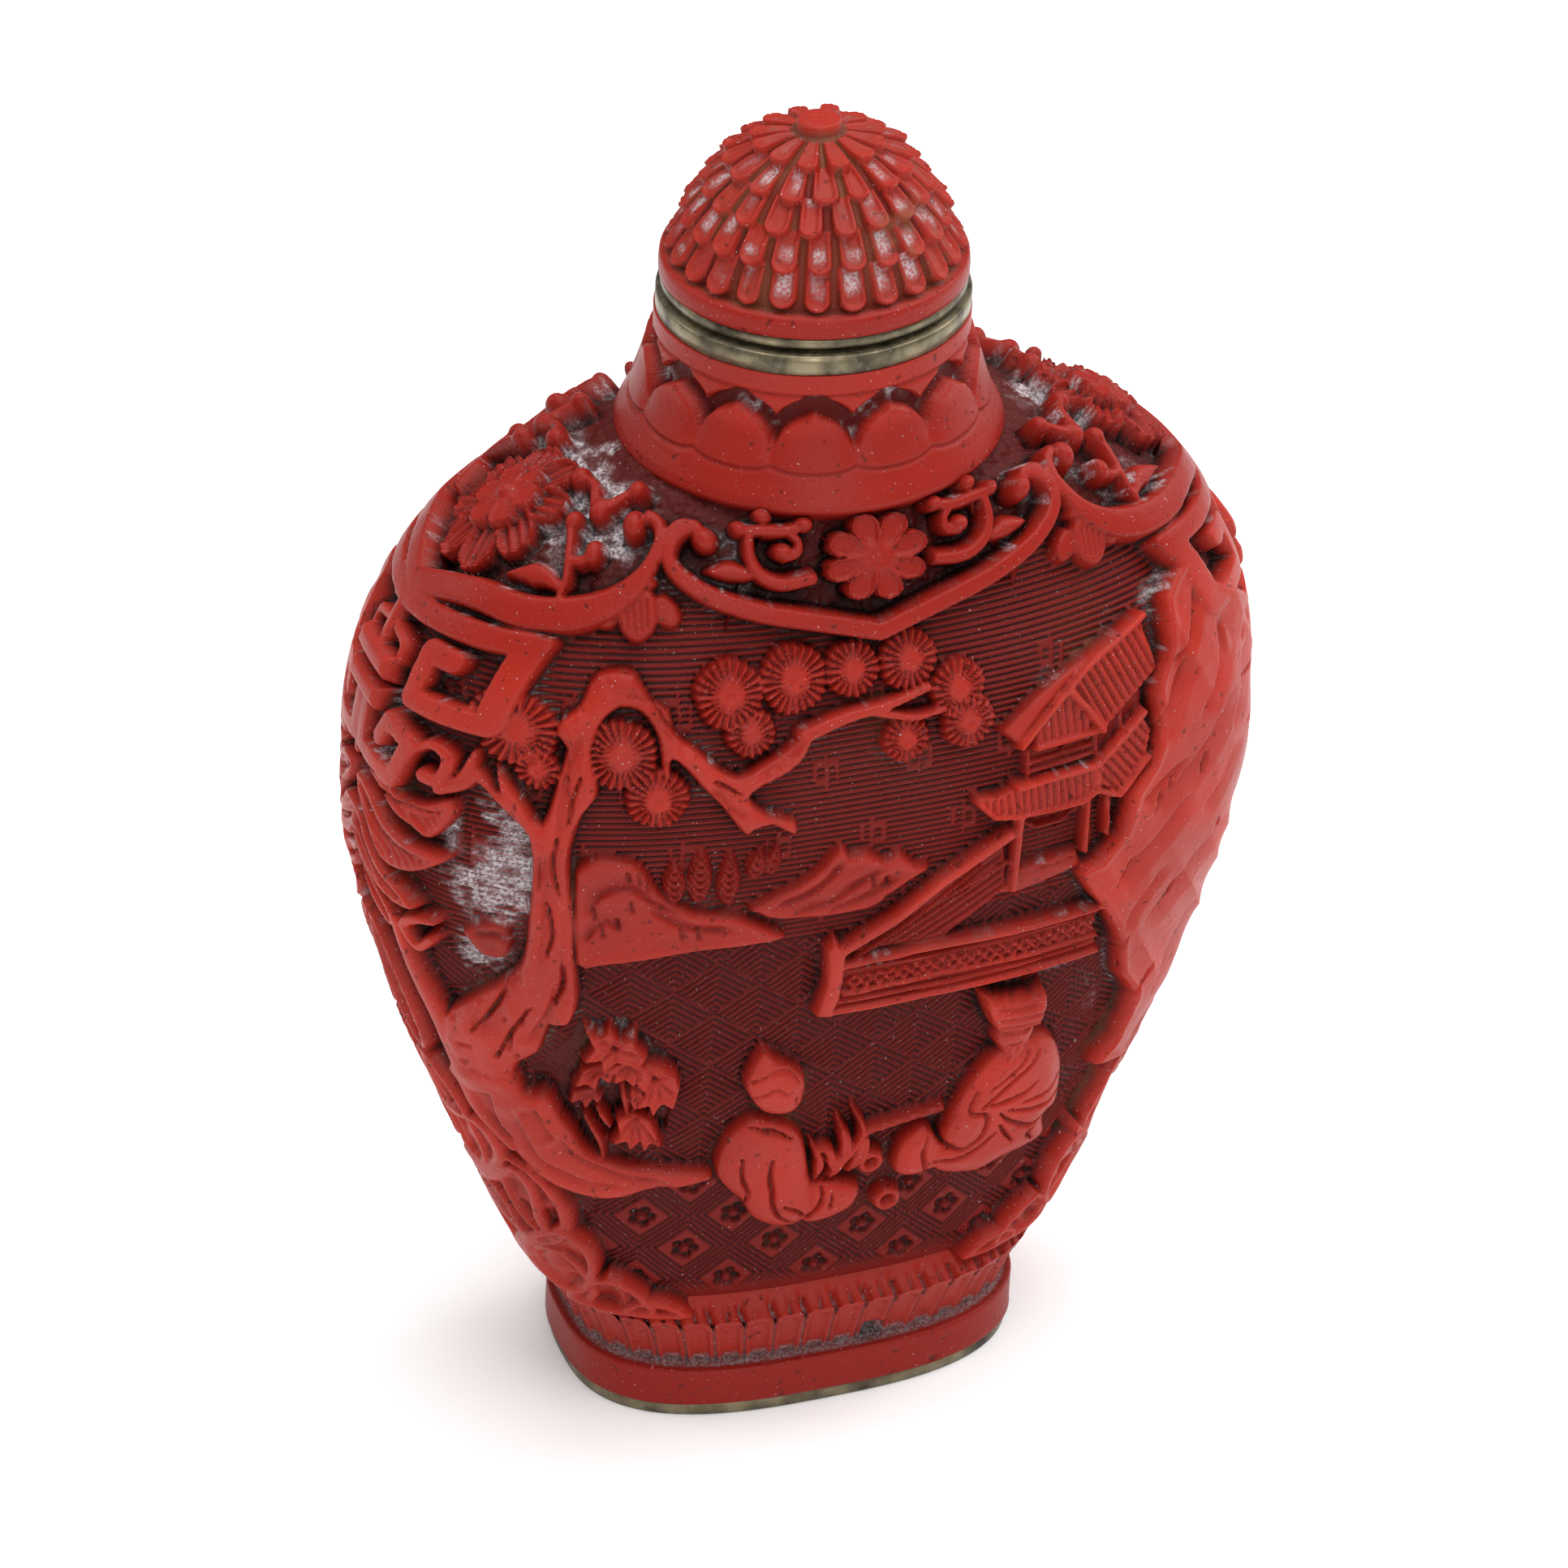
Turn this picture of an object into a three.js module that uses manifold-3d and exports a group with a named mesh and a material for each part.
// Carved lacquer snuff bottle: a flattened, high-shouldered bottle with a landscape in relief, a brass
// collar on its neck, a brass plate under its foot, and a domed stopper that lifts off.
// Millimetres, +Z up, the foot plate on z = 0, the front towards -Y.
import * as THREE from 'three'
import { mergeVertices } from 'three/addons/utils/BufferGeometryUtils.js'
import Module from 'manifold-3d'

const wasm = await Module()
wasm.setup()

// Heights up the bottle
const footPlateTop = 0.7
const footBandTop = 2.8
const footFluteTop = 6.3
const groundStart = 6.6
const skirtBottom = 52.2
const neckBandBottom = 57.3
const neckTop = 58.4
const collarTop = 59.4
const stopperGap = 0.3
const stopperPlateBottom = collarTop + stopperGap
const stopperPlateTop = stopperPlateBottom + 0.5
const domeBandTop = 61.3
const domeTop = 68.1

// The carver's ground: height, half width and half depth; the relief stands up from it
const ground = [
  [groundStart, 12.3, 7.5],
  [10.6, 14.3, 8.3],
  [17.0, 16.9, 9.5],
  [23.9, 19.6, 10.7],
  [30.8, 21.25, 11.7],
  [37.2, 21.45, 12.0],
  [42.5, 20.5, 11.3],
  [46.7, 18.3, 10.0],
  [49.9, 14.9, 8.8],
  [53.0, 8.2, 7.3],
]
const lean = 0.024
const footWidth = 11.75
const footDepth = 8.0
const footRoundness = 2.75
const bodyRoundness = 2.48
const neckRoundness = 2.1

// Neck, mouth, cavity and stopper
const skirtRadius = 9.35
const neckRadius = 7.45
const bandRadius = 7.55
const boreRadius = 3.3
const wall = 2.2
const cavityBottom = 4.2
const cavityTop = 49.6
const spigotRadius = boreRadius - 0.35
const spigotLength = 3.2
const stopperPlateRadius = 7.3
const domeRadius = 7.58
const domeCentre = 58.74

// Relief
const sink = 0.8
const neckPetals = 10
const footFlutes = 44
const lappetHeight = 1.2
const fretHeight = 1.15
const domeTiers = [[20, [61.8, 63.4, 64.85], 66.4], [14, [65.9, 66.8], 67.6], [7, [67.25], 67.8]]

const lacquer = { color: 0xa93426, roughness: 0.42, metalness: 0 }
const brass = { color: 0x5e5646, roughness: 0.5, metalness: 0.85 }

const group = new THREE.Group()

// --- solids ------------------------------------------------------------------------------------

// Moves every corner of a geometry through a function of its place
function reshape(geometry, move) {
  const place = geometry.attributes.position
  const corner = new THREE.Vector3()
  for (let i = 0; i < place.count; i += 1) {
    corner.fromBufferAttribute(place, i)
    const moved = move(corner)
    place.setXYZ(i, moved.x, moved.y, moved.z)
  }
  return geometry
}

// Turns a closed geometry into a solid that can be joined and cut
function solid(geometry) {
  const bare = geometry.index ? geometry.clone() : mergeVertices(geometry)
  bare.deleteAttribute('normal')
  bare.deleteAttribute('uv')
  const merged = mergeVertices(bare, 1e-4)
  const vertices = merged.attributes.position.array
  const corners = []
  let volume = 0
  for (let i = 0; i < merged.index.count; i += 3) {
    const [a, b, c] = [0, 1, 2].map((k) => merged.index.array[i + k])
    if (a !== b && b !== c && c !== a) {
      corners.push([a, b, c])
      const [p, q, r] = [a, b, c].map((k) => new THREE.Vector3().fromArray(vertices, 3 * k))
      volume += p.dot(q.cross(r))
    }
  }
  const triVerts = new Uint32Array(corners.map((t) => (volume < 0 ? [t[0], t[2], t[1]] : t)).flat())
  return new wasm.Manifold(new wasm.Mesh({ numProp: 3, vertProperties: vertices.slice(), triVerts }))
}

function addPart(name, shape, finish) {
  const { vertProperties, triVerts, numProp } = shape.getMesh()
  const place = new Float32Array((vertProperties.length / numProp) * 3)
  for (let i = 0; i < place.length / 3; i += 1) {
    place.set(vertProperties.slice(i * numProp, i * numProp + 3), i * 3)
  }
  const geometry = new THREE.BufferGeometry()
  geometry.setAttribute('position', new THREE.BufferAttribute(place, 3))
  geometry.setIndex(new THREE.BufferAttribute(new Uint32Array(triVerts), 1))
  geometry.computeVertexNormals()
  const mesh = new THREE.Mesh(geometry, new THREE.MeshStandardMaterial(finish))
  mesh.name = name
  group.add(mesh)
}

// A point on the oval section of half width a, half depth b and the given roundness
function onOval(a, b, roundness, angle) {
  const c = Math.cos(angle)
  const s = Math.sin(angle)
  return [
    a * Math.sign(c) * Math.abs(c) ** (2 / roundness),
    b * Math.sign(s) * Math.abs(s) ** (2 / roundness),
  ]
}

// A solid through a stack of oval rings, each { z, a, b, n }, flat at both ends. A flute says how far
// the corner of a ring and column moves, out and up.
function lofted(rings, sides, flute = () => [0, 0]) {
  const geometry = new THREE.CylinderGeometry(1, 1, 1, sides, rings.length - 1)
  geometry.rotateX(Math.PI / 2).rotateZ(Math.PI / 2)
  return solid(reshape(geometry, (v) => {
    const level = Math.round((v.z + 0.5) * (rings.length - 1))
    const ring = rings[level]
    const angle = Math.atan2(v.y, v.x)
    const column = (Math.round((angle / (2 * Math.PI)) * sides) + sides) % sides
    const fraction = Math.hypot(v.x, v.y)
    const [grow, rise] = fraction > 0.5 ? flute(level, column) : [0, 0]
    const [x, y] = onOval(ring.a + grow, ring.b + grow, ring.n, angle)
    return new THREE.Vector3(fraction * x + lean * ring.z, fraction * y, ring.z + rise)
  }))
}

const round = (z, radius) => ({ z, a: radius, b: radius, n: 2 })

// --- the ground that the relief stands on ------------------------------------------------------

// Smooth half width (column 1) or half depth (column 2) of the ground at a height
function groundAt(z, column) {
  const last = ground.length - 1
  const next = ground.findIndex(([level]) => z < level)
  const start = next < 0 ? last - 1 : Math.max(0, next - 1)
  const slope = (i) => {
    const low = ground[Math.max(0, i - 1)]
    const high = ground[Math.min(last, i + 1)]
    return (high[column] - low[column]) / (high[0] - low[0])
  }
  const [from, to] = [ground[start], ground[start + 1]]
  const step = to[0] - from[0]
  const t = Math.min(1, Math.max(0, (z - from[0]) / step))
  const rise = 3 * t ** 2 - 2 * t ** 3
  const leave = t ** 3 - 2 * t ** 2 + t
  const arrive = t ** 3 - t ** 2
  return THREE.MathUtils.lerp(from[column], to[column], rise)
    + step * (leave * slope(start) + arrive * slope(start + 1))
}

function roundnessAt(z) {
  const low = THREE.MathUtils.clamp((z - 6) / 10, 0, 1)
  const high = THREE.MathUtils.clamp((z - 42) / 11, 0, 1)
  return footRoundness + (bodyRoundness - footRoundness) * low + (neckRoundness - bodyRoundness) * high
}

// How far a point lies out from the axis, 1 on the ground itself
function reach(x, y, z) {
  const n = roundnessAt(z)
  return (Math.abs(x / groundAt(z, 1)) ** n + Math.abs(y / groundAt(z, 2)) ** n) ** (1 / n)
}

// The other half measure of the section, where one is given
function across(given, z, givenColumn, soughtColumn) {
  const n = roundnessAt(z)
  const share = Math.min(0.975, Math.abs(given / groundAt(z, givenColumn)))
  return groundAt(z, soughtColumn) * (1 - share ** n) ** (1 / n)
}

function heightOver(x, y) {
  let [low, high] = [40, 53]
  for (let i = 0; i < 30; i += 1) {
    const middle = (low + high) / 2
    if (reach(x, y, middle) < 1) {
      low = middle
    } else {
      high = middle
    }
  }
  return low
}

// Each face of the bottle takes a flat drawing (p across, q up) to a point of the ground.
// On the shoulders q runs outwards from the neck instead of up.
const faces = {
  front: (p, q) => [p, -across(p, q, 1, 2), q],
  back: (p, q) => [-p, across(p, q, 1, 2), q],
  left: (p, q) => [-across(p, q, 2, 1), -p, q],
  right: (p, q) => [across(p, q, 2, 1), p, q],
  leftShoulder: (p, q) => [-q, -p, heightOver(q, p)],
  rightShoulder: (p, q) => [q, p, heightOver(q, p)],
}

// A point raised from the ground along its own normal
function raised([x, y, z], height) {
  const e = 0.02
  const normal = new THREE.Vector3(
    reach(x + e, y, z) - reach(x - e, y, z),
    reach(x, y + e, z) - reach(x, y - e, z),
    reach(x, y, z + e) - reach(x, y, z - e),
  ).normalize()
  return new THREE.Vector3(x + lean * z, y, z).addScaledVector(normal, height)
}

// Lays a flat piece of relief on a face: its z is the height above the ground
function laid(geometry, face) {
  return solid(reshape(geometry, (v) => raised(faces[face](v.x, v.y), v.z)))
}

// --- flat pieces of relief ---------------------------------------------------------------------

const vector = ([x, y]) => new THREE.Vector2(x, y)

// A smooth line through a few points
function curve(points, pieces) {
  return new THREE.SplineCurve(points.map(vector)).getPoints(pieces).map(({ x, y }) => [x, y])
}

// A strap of lacquer along a line; its width goes by the share of the way along, and its top is
// a little narrower than its foot
function strap(line, widthAt, height) {
  const path = line.map(vector)
  const last = path.length - 1
  return reshape(new THREE.BoxGeometry(1, 1, 1, last, 1, 1), (v) => {
    const i = Math.round((v.x + 0.5) * last)
    const into = path[Math.max(1, i)].clone().sub(path[Math.max(1, i) - 1]).normalize()
    const out = path[Math.min(last - 1, i) + 1].clone().sub(path[Math.min(last - 1, i)]).normalize()
    const along = into.clone().add(out).normalize()
    const mitre = 1 / Math.max(0.6, along.dot(out))
    const side = Math.sign(v.y) * 0.5 * widthAt(i / last) * mitre * (v.z > 0 ? 0.8 : 1)
    const level = v.z > 0 ? height : -sink
    return new THREE.Vector3(path[i].x - along.y * side, path[i].y + along.x * side, level)
  })
}

const even = (width) => () => width
const taper = (from, to) => (t) => THREE.MathUtils.lerp(from, to, t)
const leafWidth = (width) => (t) => width * (0.12 + 0.88 * Math.sin(Math.PI * (0.1 + 0.85 * t)))

// A plate between a left and a right edge that have the same number of points
function slab(leftEdge, rightEdge, columns, height) {
  const last = leftEdge.length - 1
  return reshape(new THREE.BoxGeometry(1, 1, 1, columns, last, 1), (v) => {
    const i = Math.round((0.5 - v.y) * last)
    const at = v.x + 0.5
    const x = THREE.MathUtils.lerp(leftEdge[i][0], rightEdge[i][0], at)
    const y = THREE.MathUtils.lerp(leftEdge[i][1], rightEdge[i][1], at)
    return new THREE.Vector3(x, y, v.z > 0 ? height : -sink)
  })
}

// A flat piece cut to an outline
function cutout(outline, height) {
  const geometry = new THREE.ExtrudeGeometry(new THREE.Shape(outline.map(vector)), {
    depth: height + sink,
    bevelEnabled: false,
  })
  return geometry.translate(0, 0, -sink)
}

// A many-sided boss
function boss([p, q], radius, height, sides = 6) {
  const outline = Array.from({ length: sides }, (_, i) => {
    const angle = (2 * Math.PI * (i + 0.5)) / sides
    return [p + radius * Math.cos(angle), q + radius * Math.sin(angle)]
  })
  return cutout(outline, height)
}

// A flower with round petals about its middle
function flower([p, q], radius, petals, height) {
  const outline = Array.from({ length: petals * 2 }, (_, i) => {
    const reachOut = radius * (i % 2 ? 0.62 : 1)
    const angle = (Math.PI * i) / petals
    return [p + reachOut * Math.cos(angle), q + reachOut * Math.sin(angle)]
  })
  return cutout(outline, height)
}

const mirrored = (points) => points.map(([p, q]) => [-p, q])

// A piece and its mirror image across the middle of the face, by their points
function pair(points, make) {
  return [make(points), make(mirrored(points).reverse())]
}

// --- ornament of the shoulders and sides -------------------------------------------------------

// A cloud-collar lappet: half its band from the tip to the curl, in the coordinates of its face
function lappet(halfBand, curl, bloom) {
  const band = [...mirrored(halfBand).reverse(), ...halfBand.slice(1)]
  const curls = [curl, mirrored([curl])[0]].map((at) => boss(at, 1.05, lappetHeight + 0.1, 5))
  const blossom = flower(bloom.at, bloom.radius, 8, bloom.height)
  return [strap(band, even(1.25), lappetHeight), ...curls, blossom]
}

const frontBand = [[0, 46.2], [3.5, 47.3], [7.3, 48.1], [9.4, 49.5], [8.8, 51.1]]
const shoulderBand = [[0, 19.2], [4.2, 17.4], [7.0, 14.4], [7.6, 11.4], [6.5, 9.9]]
// The front and back lappet, with scrolls beside the flower and a leaf hanging at each corner
function faceLappet(isPlain) {
  const bloom = { at: [0.1, 49.6], radius: 2.5, height: 1.15 }
  const extras = isPlain ? [] : [
    ...pair([[3.2, 48.9], [6.4, 49.2], [5.9, 50.8]], (line) => strap(line, even(0.75), 1.0)),
    ...pair([[9.0, 49.0], [8.8, 47.7], [10.4, 46.9], [12.0, 47.7], [11.6, 49.0]],
      (outline) => cutout(outline, 0.85)),
  ]
  return [...lappet(frontBand, [8.0, 50.8], bloom), ...extras]
}

function shoulderLappet() {
  return lappet(shoulderBand, [5.7, 10.6], { at: [0, 14.6], radius: 3.4, height: 0.9 })
}

// Square key frets, a knotted strap between them, and long leaves sweeping down below
function sideOrnament() {
  const upperFret = [[0.6, 45.6], [3.4, 46.2], [7.2, 46.4], [7.6, 42.5], [3.6, 42.4], [3.5, 44.9]]
  const lowerFret = [[0.5, 41.0], [0.6, 38.0], [4.1, 37.9], [4.6, 40.8], [2.7, 40.7]]
  const frets = [...pair(upperFret, (line) => strap(line, even(1.15), fretHeight)),
    ...pair(lowerFret, (line) => strap(line, even(1.15), fretHeight))]
  const knot = strap([[-1.5, 42.5], [1.5, 42.5]], even(2.6), fretHeight + 0.25)
  const blade = [[-1.6, 0], [0.8, -0.6], [1.8, -3.6], [1.4, -5.6], [-0.6, -3.4]]
  const blades = [[5.0, 37.2], [2.4, 35.2]].flatMap(([out, top]) => pair(
    blade.map(([p, q]) => [out + p, top + q]),
    (outline) => cutout(outline, 1.0),
  ))
  return [...frets, knot, ...blades]
}

// --- landscape ---------------------------------------------------------------------------------

// A leaning pine: trunk, arched bough, side branches, and round tufts of needles
function pine() {
  return [
    strap(
      curve([[-16.6, 23.0], [-15.9, 27.0], [-15.6, 31.0], [-15.8, 35.0], [-15.2, 38.4]], 3),
      taper(3.9, 2.2), 1.3,
    ),
    strap(
      curve([[-15.2, 37.6], [-14.7, 42.4], [-12.6, 44.9], [-10.5, 43.2], [-8.2, 39.8], [-4.9, 37.4]], 7),
      taper(2.1, 0.8), 1.25,
    ),
    strap([[-15.9, 37.0], [-18.8, 40.8]], taper(1.5, 0.8), 1.1),
  ]
}

// Round tufts of needles: across, up and radius
const tufts = [
  [-17.1, 42.7, 1.8], [-12.6, 41.7, 1.7], [-11.0, 39.5, 1.5], [-7.4, 44.3, 1.65], [-4.3, 44.7, 1.65],
  [-1.4, 44.8, 1.35], [1.4, 44.8, 1.45], [3.9, 42.6, 1.6], [1.1, 41.0, 1.2],
]

function needles() {
  const branch = curve([[-8.0, 39.8], [-5.6, 40.5], [-3.4, 42.1], [0.0, 42.7], [3.5, 43.0]], 3)
  const rounds = tufts.map(([p, q, radius]) => boss([p, q], radius, 0.75, 5))
  return [strap(branch, taper(1.4, 0.6), 1.0), ...rounds]
}

// Far hills over the water
function hills() {
  const near = slab([[-14.6, 35.4], [-14.5, 30.5]], [[-11.6, 36.0], [-5.0, 31.3]], 3, 0.7)
  const far = cutout([[-6.6, 33.0], [-2.2, 35.9], [2.4, 33.8], [-0.7, 32.4], [-5.5, 32.1]], 0.6)
  return [near, far]
}

// A two-tiered pavilion on posts over the water
function pavilion() {
  const roofs = [
    cutout([[5.9, 40.6], [13.6, 44.6], [13.9, 43.8], [9.2, 42.2], [6.9, 39.4]], 0.7),
    cutout([[9.2, 42.2], [13.9, 43.9], [14.6, 41.6], [11.5, 39.2], [7.4, 39.3]], 0.95),
    cutout([[4.6, 37.0], [7.3, 37.6], [11.0, 37.6], [13.5, 38.8], [13.8, 37.1], [11.9, 35.6], [5.3, 36.0]],
      0.95),
  ]
  const walls = cutout([[7.3, 39.6], [11.5, 39.6], [11.2, 37.4], [7.3, 37.4]], 0.5)
  const posts = [[6.9, 31.4], [10.7, 32.4]]
    .map(([p, foot]) => strap([[p, 35.8], [p, foot]], even(0.7), 0.85))
  return [...roofs, walls, ...posts]
}

// A railed walk that zigzags from the pavilion to the cliff
function walk() {
  return [
    strap([[6.4, 34.8], [2.2, 32.4], [-2.2, 29.7], [-2.2, 26.2], [4.8, 26.3], [11.9, 26.3]],
      even(0.9), 0.95),
    strap([[-2.2, 28.8], [4.8, 28.9], [11.9, 28.7]], even(0.9), 0.95),
  ]
}

// A cliff that turns the corner from the face to the side
function cliff(height) {
  return slab(
    [[16.0, 45.4], [13.6, 41.0], [12.3, 36.5], [11.4, 31.2], [13.8, 26.4], [14.2, 20.5]],
    [[19.2, 43.8], [20.6, 39.6], [20.9, 35.0], [20.6, 31.0], [19.6, 26.2], [17.2, 20.0]],
    3, height,
  )
}

// A rock ledge that sweeps from the pine's root, with a maple bush over it
function ledge() {
  const outline = slab(
    [[-19.3, 26.0], [-17.6, 20.2], [-13.6, 15.6], [-8.8, 15.4]],
    [[-15.6, 24.6], [-14.2, 20.4], [-11.2, 18.0], [-7.6, 16.8]],
    2, 1.15,
  )
  const bush = [[-13.0, 23.6], [-10.6, 22.9], [-11.2, 20.2]]
    .map((at) => boss(at, 1.7, 0.9, 5))
  return [outline, ...bush]
}

// Scalloped rocks down both lower corners of a face
function rocks() {
  const bank = [[-14.9, 15.2], [-13.9, 12.8], [-12.7, 10.9], [-11.2, 9.3], [-9.4, 8.0]]
  return pair(bank, (line) => strap(line, (t) => (Math.round(t * 4) % 2 ? 2.6 : 1.6), 1.0))
}

// Two people on the shore: one from behind, one seated in a square cap, with a plant and two cups
function people() {
  const kneeling = [
    cutout([[-6.2, 19.9], [-7.3, 17.6], [-5.2, 13.1], [-1.9, 12.7], [-2.2, 17.6], [-3.4, 19.8]], 1.4),
    boss([-4.7, 21.8], 1.5, 1.5),
    strap([[-5.3, 22.6], [-5.5, 24.5]], taper(1.6, 0.5), 1.1),
    strap([[-1.9, 13.8], [0.6, 13.6]], taper(1.8, 1.1), 1.3),
  ]
  const seated = [
    cutout([[6.2, 21.8], [4.4, 17.2], [4.6, 14.3], [9.4, 14.2], [11.1, 16.4], [10.4, 19.6], [8.8, 21.8]],
      1.4),
    boss([7.8, 22.6], 1.4, 1.4),
    cutout([[5.6, 25.9], [9.1, 24.9], [9.0, 23.0], [6.4, 22.9]], 1.3),
    strap([[5.6, 14.9], [2.5, 15.4]], taper(1.8, 1.6), 1.3),
  ]
  const between = [
    strap([[-0.4, 15.6], [0.0, 18.4]], leafWidth(1.8), 0.9),
    boss([1.5, 15.5], 0.8, 0.8, 5),
  ]
  return [...kneeling, ...seated, ...between]
}

// --- pieces ------------------------------------------------------------------------------------

const footRing = (z, inset = 0) => ({ z, a: footWidth - inset, b: footDepth - inset, n: footRoundness })
const groundRing = (z, inset = 0) => (
  { z, a: groundAt(z, 1) - inset, b: groundAt(z, 2) - inset, n: roundnessAt(z) })

// The hollow follows the ground, with more left under the shoulders
const hollowRing = (z) => (
  { ...groundRing(Math.max(z, groundStart), z > 40 ? wall + 0.5 : wall), z })

function bottle() {
  const levels = [groundStart, 13, 20, 28, 36, 42, 46.5, 50, 52.2]
  const body = lofted([
    footRing(footPlateTop), footRing(footBandTop), footRing(footBandTop + 0.1, 0.4),
    ...levels.map((z) => groundRing(z)),
  ], 28)
  const flutes = lofted([
    footRing(footBandTop + 0.2, 0.1), footRing(footFluteTop, -0.9),
  ], 2 * footFlutes, (level, column) => [column % 2 ? -0.25 - 0.1 * level : 0, 0])
  const petalRise = [0, -0.5, -1.7, -0.5]
  const neck = lofted([
    round(51, 8.2), round(skirtBottom, skirtRadius), round(53.7, 8.6),
    round(56.6, neckRadius + 0.35), round(56.65, neckRadius - 0.1),
    round(neckBandBottom + 0.05, bandRadius), round(neckTop, bandRadius),
  ], 4 * neckPetals, (level, column) => [0, level === 3 || level === 4 ? petalRise[column % 4] : 0])
  const inside = lofted([
    ...[cavityBottom, 10, 20, 30, 38, 44, cavityTop].map(hollowRing),
    round(cavityTop + 1.6, boreRadius), round(neckTop + 1, boreRadius),
  ], 14)
  const onFront = [...faceLappet(false), ...pine(), ...needles(), ...hills(), ...pavilion(), ...walk(),
    cliff(1.2), ...ledge(), ...people(), ...rocks()]
  const onBack = [...faceLappet(true), ...pine(), cliff(1.1)]
  const relief = [
    ...onFront.map((piece) => laid(piece, 'front')),
    ...onBack.map((piece) => laid(piece, 'back')),
    ...['left', 'right'].flatMap((face) => sideOrnament().map((piece) => laid(piece, face))),
    ...['leftShoulder', 'rightShoulder']
      .flatMap((face) => shoulderLappet().map((piece) => laid(piece, face))),
  ]
  const carved = [flutes, neck, ...relief].reduce((whole, piece) => whole.add(piece), body)
  return carved.subtract(inside)
}

function domeRadiusAt(z) {
  const up = (z - domeCentre) / (domeTop - domeCentre)
  return domeRadius * Math.sqrt(Math.max(0, 1 - up ** 2))
}

// One tier of the dome: rows of overlapping petals that point down, the same number in each row
function petalTier(below, count, tips, top) {
  const rings = tips.flatMap((tip) => [
    round(tip - 0.02, domeRadiusAt(tip) - 0.35), round(tip, domeRadiusAt(tip) + 0.1),
  ])
  const profile = [...below, ...rings, round(top, domeRadiusAt(top) - 0.5)]
  return lofted(profile, 2 * count, (level, column) => {
    const row = Math.floor((level - below.length) / 2)
    const isRim = level >= below.length && (level - below.length) % 2 === 1
    return isRim && (column + row) % 2 ? [-0.3, 0.55] : [0, 0]
  })
}

// The stopper's dome: a plain band, tiers of petals, and a round button on top
function stopperDome() {
  const band = [round(stopperPlateTop, domeRadius - 0.2), round(domeBandTop, domeRadius - 0.25)]
  const tiers = domeTiers.map(([count, tips, top], i) => petalTier(i ? [] : band, count, tips, top))
  const button = lofted([round(67.2, 1.2), round(67.8, 1.2), round(domeTop, 0.7)], 8)
  return [...tiers, button].reduce((whole, piece) => whole.add(piece))
}

function disc(bottom, top, radius, sides = 22) {
  return lofted([round(bottom, radius), round(top, radius)], sides)
}

function neckCollar() {
  return disc(neckTop, collarTop, bandRadius - 0.05)
    .subtract(disc(neckTop - 1, collarTop + 1, boreRadius, 12))
}

function stopperPlate() {
  return disc(stopperPlateBottom, stopperPlateTop, stopperPlateRadius)
    .add(disc(stopperPlateBottom - spigotLength, stopperPlateBottom + 0.1, spigotRadius, 12))
}

const footPlate = () => lofted([footRing(0, 0.2), footRing(footPlateTop, 0.2)], 28)

addPart('bottle', bottle(), lacquer)
addPart('foot_plate', footPlate(), brass)
addPart('neck_collar', neckCollar(), brass)
addPart('stopper_plate', stopperPlate(), brass)
addPart('stopper_dome', stopperDome(), lacquer)

export default group
